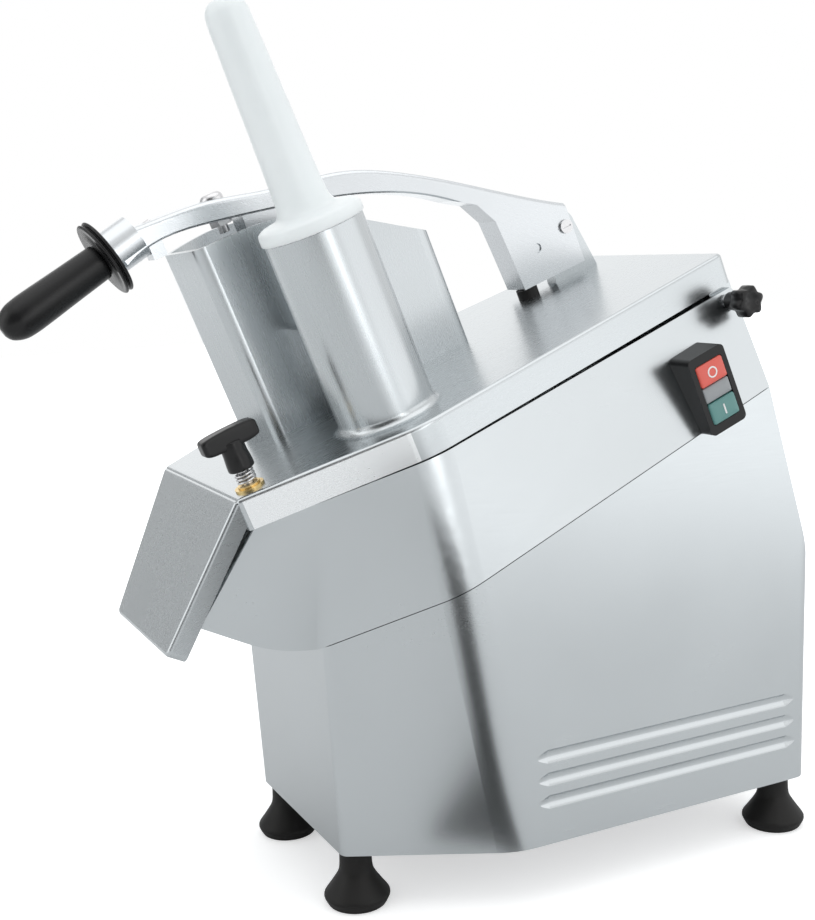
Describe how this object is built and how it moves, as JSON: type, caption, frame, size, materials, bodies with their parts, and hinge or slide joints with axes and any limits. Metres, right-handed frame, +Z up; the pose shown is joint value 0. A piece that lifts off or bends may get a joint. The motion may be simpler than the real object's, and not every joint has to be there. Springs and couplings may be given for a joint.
{
  "type": "vegetable cutting machine",
  "caption": "Bench vegetable cutting machine: tilted body and hinged lid, half-round hopper with lever press, round feed tube with pusher, front discharge hood and belt-driven cutting disc.",
  "frame": {"origin": "on the table under the middle of the bounding box", "axes": "+X from the discharge hood to the hinge and motor end, switch on the -Y side, +Z up"},
  "size_m": [0.5829, 0.285, 0.6419],
  "materials": {
    "cast_aluminium": "satin blasted casting",
    "turned_steel": "turned and brushed",
    "blade_steel": "ground stainless",
    "plate_steel": "grey painted sheet",
    "white_nylon": "turned white nylon",
    "black_plastic": "moulded, satin",
    "black_rubber": "moulded matt rubber",
    "belt_rubber": "ribbed matt rubber",
    "brass": "turned",
    "red_plastic": "moulded, glossy",
    "green_plastic": "moulded, glossy",
    "grey_lens": "moulded, glossy",
    "motor_paint": "dark grey enamel",
    "grey_plastic": "moulded"
  },
  "bodies": {
    "base": {"base_housing": "cast_aluminium", "chamber_casting": "cast_aluminium", "bottom_plate": "plate_steel", "foot_front_near": "black_rubber", "foot_front_far": "black_rubber", "foot_back_near": "black_rubber", "foot_back_far": "black_rubber", "foot_bolts": "turned_steel", "plate_screws": "turned_steel", "flange_screws": "turned_steel", "switch_housing": "black_plastic", "switch_lens": "grey_lens", "contact_block": "grey_plastic", "stud_insert": "brass", "upper_bearing": "turned_steel", "lower_bearing": "turned_steel", "shaft_seal": "black_rubber", "retaining_ring": "turned_steel", "drive_belt": "belt_rubber", "motor_posts": "turned_steel", "motor_plate": "turned_steel", "motor_end_upper": "motor_paint", "motor_body": "motor_paint", "motor_end_lower": "motor_paint", "run_capacitor": "grey_plastic", "terminal_block": "grey_plastic", "cable_gland": "black_plastic"},
    "lid": {"lid_casting": "cast_aluminium", "pivot_bolt": "turned_steel", "rubber_buffer": "black_rubber", "lock_washer": "brass", "lock_spring": "turned_steel"},
    "arm": {"lever_arm": "cast_aluminium", "arm_rod": "turned_steel", "guard_disc": "black_plastic", "hand_grip": "black_plastic", "adjusting_bolt": "turned_steel", "adjusting_nut": "turned_steel", "stop_magnet": "turned_steel", "pressure_block": "cast_aluminium"},
    "round_pusher": {"round_pusher": "white_nylon"},
    "lock_knob": {"lock_knob": "black_plastic", "lock_stud": "turned_steel"},
    "hinge_knob": {"hinge_knob": "black_plastic", "hinge_pin": "turned_steel"},
    "stop_button": {"stop_button": "red_plastic"},
    "start_button": {"start_button": "green_plastic"},
    "cutter": {"main_shaft": "turned_steel", "shaft_spacer": "turned_steel", "driven_pulley": "cast_aluminium", "cutting_disc": "blade_steel", "slicing_blades": "blade_steel", "disc_nut": "turned_steel", "ejector_plate": "white_nylon"},
    "motor_rotor": {"motor_shaft": "turned_steel", "motor_pulley": "cast_aluminium"}
  },
  "joints": [
    {"name": "lid_hinge", "type": "hinge", "parent": "base", "child": "lid", "pos_m": [0.22356, 0, 0.42492], "axis": [0, 1, 0], "range_deg": [0, 80]},
    {"name": "arm_pivot", "type": "hinge", "parent": "lid", "child": "arm", "pos_m": [0.17036, 0.054, 0.48687], "axis": [0, 1, 0], "range_deg": [0, 75]},
    {"name": "pusher_slide", "type": "slide", "parent": "lid", "child": "round_pusher", "axis": [-0.3518, 0, 0.9361], "range_m": [0, 0.14]},
    {"name": "lock_turn", "type": "hinge", "parent": "lid", "child": "lock_knob", "pos_m": [-0.15652, -0.074, 0.31913], "axis": [-0.3518, 0, 0.9361], "continuous": true},
    {"name": "hinge_knob_turn", "type": "hinge", "parent": "base", "child": "hinge_knob", "pos_m": [0.22356, 0, 0.42492], "axis": [0, 1, 0], "continuous": true},
    {"name": "stop_press", "type": "slide", "parent": "base", "child": "stop_button", "axis": [0, 1, 0], "range_m": [0, 0.003], "stiffness_N_per_m": 400},
    {"name": "start_press", "type": "slide", "parent": "base", "child": "start_button", "axis": [0, 1, 0], "range_m": [0, 0.003], "stiffness_N_per_m": 400},
    {"name": "cutter_spin", "type": "hinge", "parent": "base", "child": "cutter", "pos_m": [-0.02159, 0, 0.341], "axis": [-0.3518, 0, 0.9361], "continuous": true},
    {"name": "rotor_spin", "type": "hinge", "parent": "base", "child": "motor_rotor", "pos_m": [0.15625, 0, 0.26576], "axis": [-0.3518, 0, 0.9361], "continuous": true}
  ],
  "couplings": [
    {"joint": "rotor_spin", "follows": "cutter_spin", "ratio": 5}
  ]
}
